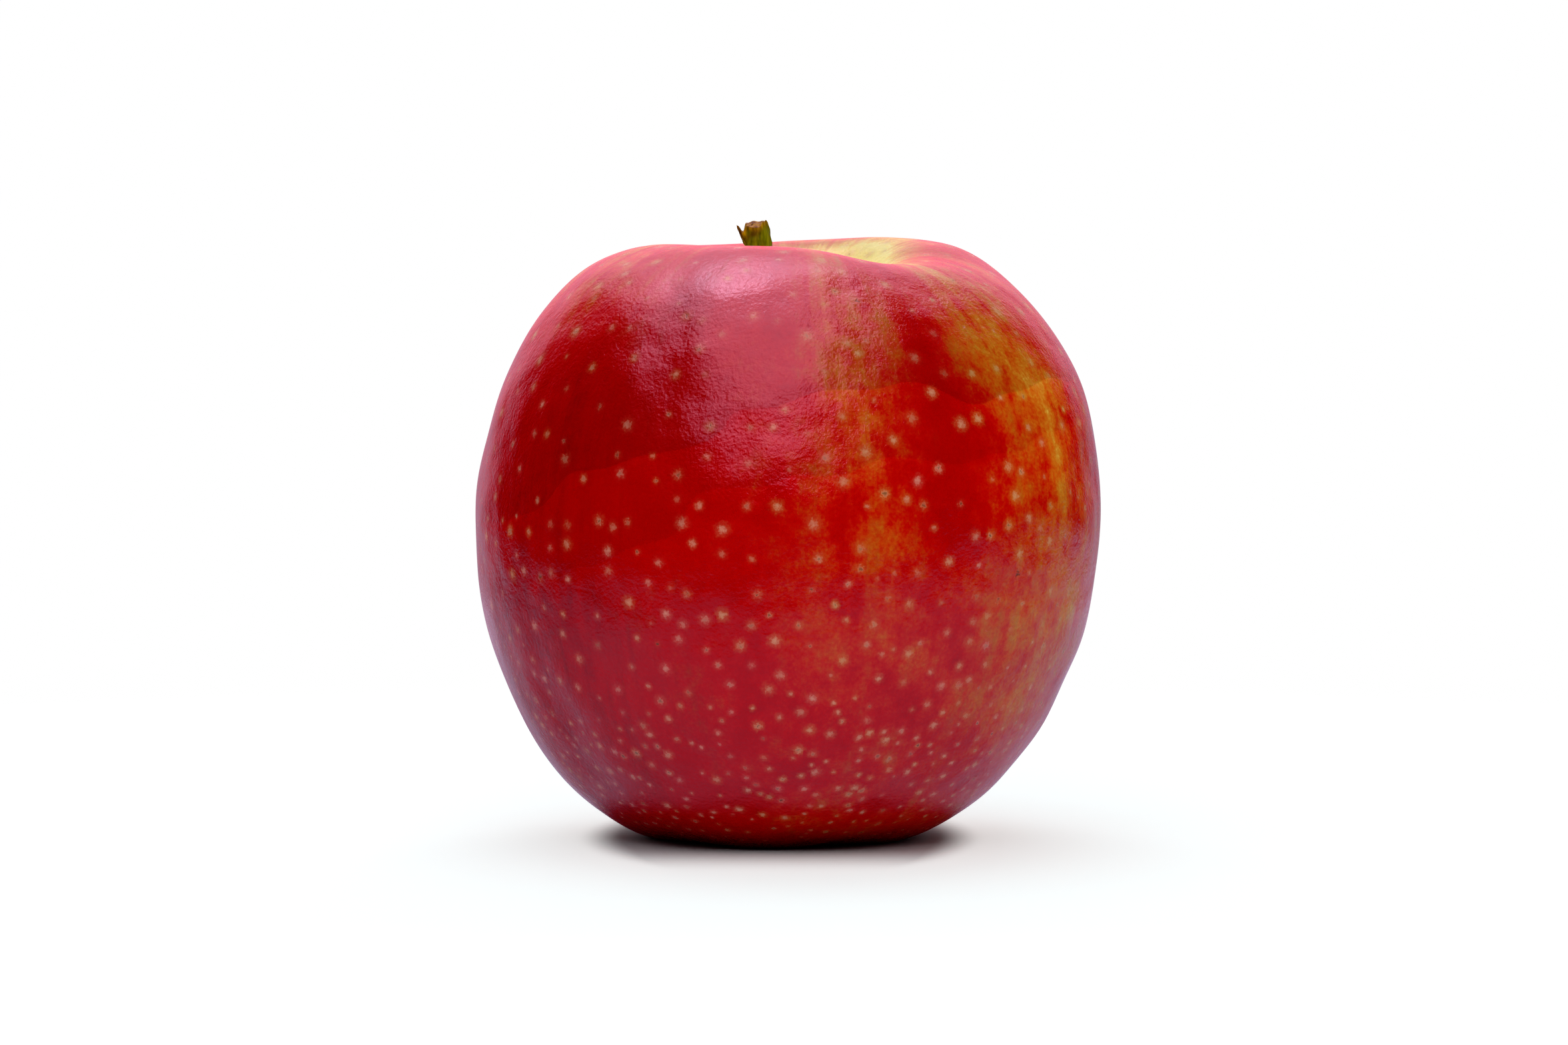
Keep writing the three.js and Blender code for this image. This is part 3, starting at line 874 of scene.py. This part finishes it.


# One card is what is seen of the floor. The other is never seen; it bounces a rosier light back and
# glows too, a painted light that is brighter in front.
seen_card = white_card(
    "white_card",
    "#d6e4e8",
    "#c1c1bf",
    inner=0.0195,
    depth=0.56,
    front=0.015,
    gain=1.0,
    middle=(0, 0, 0),
    near=0.1,
    far=0.24,
)
bounce_card = white_card(
    "bounce_card",
    "#c8a6c0",
    "#9ea6c4",
    inner=0.0222,
    depth=1.0,
    front=0.03,
    gain=1.65,
    middle=(0.03, 0.08, 0),
    near=0.16,
    far=0.27,
)
seen = make_floor("floor", -0.02, seen_card)
seen.visible_diffuse = False
seen.visible_glossy = False
make_floor("floor_bounce", -0.03, bounce_card).visible_camera = False

# The softbox hangs over and before the apple: one panel that gloss mirrors and one that lights, so
# that the sheen can be rosier than the light. The lamp makes the clear highlight on the shoulder.
over, over_aim, rose = (-0.09, -0.4, 0.56), (-0.09, -0.4, 0), "#ffbde0"
add_panel("softbox_gloss", 0.66, 1.46, over, over_aim, 6.0, mirrored=True, tint=rose)
add_panel("softbox_light", 0.66, 1.46, over, over_aim, 7.2, mirrored=False)
lamp, lamp_aim = (-0.12, 0.085, 0.55), (-0.12, 0.085, 0)
add_panel("softbox_lamp", 0.1, 0.04, lamp, lamp_aim, 55.0, mirrored=True, tint=rose)


def white_surroundings():
    """A white backdrop behind the apple, brighter higher up, in a room whose front and sides are dark.

    The backdrop's strength is an ease of the cosine between the level way and straight back, times an
    ease of the height. Gloss sees it faintly violet. The camera sees plain white all round.
    """
    world = bpy.data.worlds.new("white_surroundings")
    world.use_nodes = True
    tree = world.node_tree
    tree.nodes.clear()
    rays = add(tree, "LightPath")
    way = add(tree, "TexCoord").outputs["Generated"]
    level = add(tree, "VectorMath", {0: way, 1: (1, 1, 0)}, operation="MULTIPLY").outputs[0]
    level = add(tree, "VectorMath", {0: level}, operation="NORMALIZE").outputs[0]
    pair = {0: level, 1: (-0.05, 0.9987, 0)}
    back = add(tree, "VectorMath", pair, operation="DOT_PRODUCT").outputs["Value"]
    high = add(tree, "SeparateXYZ", {0: way}).outputs[2]
    backdrop = 1.0
    for value, start, end, low, most in ((back, 0.72, 0.9, 0.0, 1.0), (high, 0.0, 0.7, 0.62, 1.35)):
        limits = {"Value": value, "From Min": start, "From Max": end, "To Min": low, "To Max": most}
        share = add(tree, "MapRange", limits, interpolation_type="SMOOTHSTEP").outputs["Result"]
        backdrop = add(tree, "Math", {0: share, 1: backdrop}, operation="MULTIPLY").outputs[0]
    room_fill = 0.18
    strength = add(tree, "Math", {0: backdrop, 1: room_fill}, operation="ADD").outputs[0]
    tint = (1, 1, 1, 1)
    for ray, value, shade in (
        ("Is Glossy Ray", backdrop, (0.8, 0.72, 1, 1)),
        ("Is Camera Ray", 1.0, (1, 1, 1, 1)),
    ):
        chosen = rays.outputs[ray]
        strength = add(tree, "Mix", {0: chosen, 2: strength, 3: value}).outputs[0]
        tint = add(tree, "Mix", {0: chosen, 6: tint, 7: shade}, data_type="RGBA").outputs[2]
    light = add(tree, "Background", {"Color": tint, "Strength": strength})
    add(tree, "OutputWorld", {"Surface": light.outputs[0]})
    return world


bpy.context.scene.world = white_surroundings()

# A plain display with a short toe: the darkest tones are a little darker, as on a contrasty print.
view = bpy.context.scene.view_settings
view.view_transform = "Standard"
view.use_curve_mapping = True
for darkest in ((0.01, 0.002), (0.03, 0.02), (0.07, 0.066)):
    view.curve_mapping.curves[3].points.new(*darkest)
view.curve_mapping.update()

# The camera looks at mid height from 0.8 m away and 3 degrees above, through a long lens.
camera = bpy.data.objects.new("camera", bpy.data.cameras.new("camera"))
bpy.context.scene.collection.objects.link(camera)
camera.data.sensor_width = 36
camera.data.lens = 148.3
camera.location = (0.0, -0.8, 0.081)
look = Vector((-0.0005, 0, 0.03906)) - camera.location
camera.rotation_euler = look.to_track_quat("-Z", "Y").to_euler()
bpy.context.scene.camera = camera
